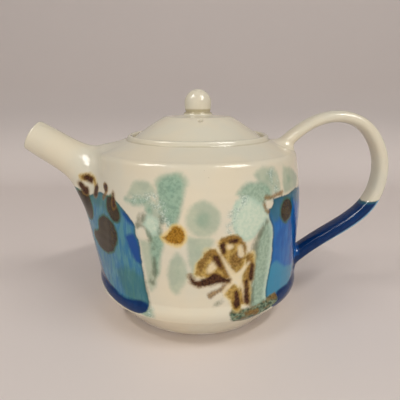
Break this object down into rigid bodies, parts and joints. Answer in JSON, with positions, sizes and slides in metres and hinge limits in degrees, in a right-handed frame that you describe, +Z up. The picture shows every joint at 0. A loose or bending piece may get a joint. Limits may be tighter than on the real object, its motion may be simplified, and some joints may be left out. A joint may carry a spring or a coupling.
{
  "type": "teapot",
  "caption": "Thrown porcelain teapot with flared spout, loop handle and a domed lid that lifts off, splashed with running glazes.",
  "frame": {"origin": "centre of the foot ring, on the table", "axes": "+X from the spout towards the handle, +Z up, +Y away from the side shown in front"},
  "size_m": [0.2361, 0.1326, 0.1446],
  "materials": {
    "splashed_glaze": "glossy cream glaze splashed with teal, blue, sage and brown glazes",
    "handle_glaze": "glossy cream glaze above, dark blue glaze on the lower run",
    "cream_glaze": "glossy cream glaze",
    "bare_porcelain": "bare fired porcelain, matt"
  },
  "bodies": {
    "pot": {"pot_floor": "cream_glaze", "pot_base": "splashed_glaze", "pot_wall": "splashed_glaze", "pot_shoulder": "cream_glaze", "foot_ring": "bare_porcelain", "spout": "splashed_glaze", "strainer": "cream_glaze", "handle": "handle_glaze"},
    "lid": {"lid": "cream_glaze", "lid_flange": "bare_porcelain", "lid_knob": "cream_glaze"}
  },
  "joints": [
    {"name": "lid_lift", "type": "slide", "parent": "pot", "child": "lid", "axis": [0, 0, 1], "range_m": [0, 0.1]}
  ]
}
